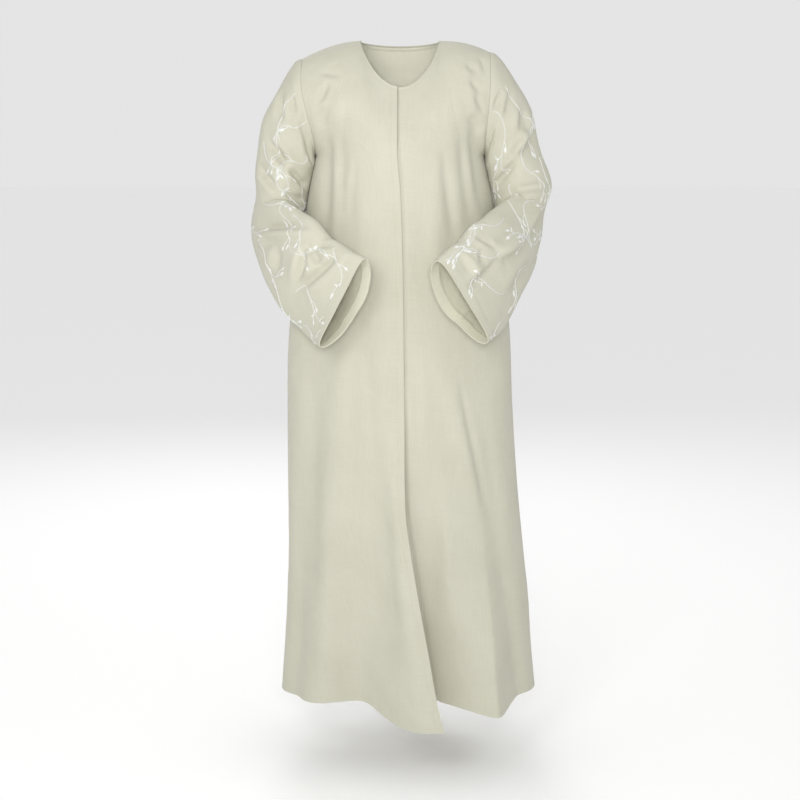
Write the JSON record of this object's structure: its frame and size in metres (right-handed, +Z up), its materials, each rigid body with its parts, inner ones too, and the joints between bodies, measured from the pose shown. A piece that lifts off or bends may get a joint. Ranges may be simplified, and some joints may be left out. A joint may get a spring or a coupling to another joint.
{
  "type": "abaya cloak",
  "caption": "Long front-opening abaya cloak with overlapping fronts and wide embroidered sleeves, held hollow in its worn shape with the arms folded forward.",
  "frame": {"origin": "midway between the two points where the neck meets the shoulders, where the garment hangs from a wearer or a bust", "axes": "+Z up, along the garment's length; +X to the wearer's left; the front opening faces -Y"},
  "size_m": [0.5812, 0.498, 1.2972],
  "materials": {
    "cloth_front_right": "matte slubby linen-look plain weave",
    "cloth_front_left": "matte slubby linen-look plain weave",
    "cloth_back": "matte slubby linen-look plain weave",
    "cloth_sleeve_right": "matte slubby linen-look plain weave",
    "cloth_sleeve_left": "matte slubby linen-look plain weave"
  },
  "bodies": {
    "root": {"front_right": "cloth_front_right", "front_left": "cloth_front_left", "back": "cloth_back", "sleeve_right": "cloth_sleeve_right", "sleeve_left": "cloth_sleeve_left"}
  },
  "joints": []
}
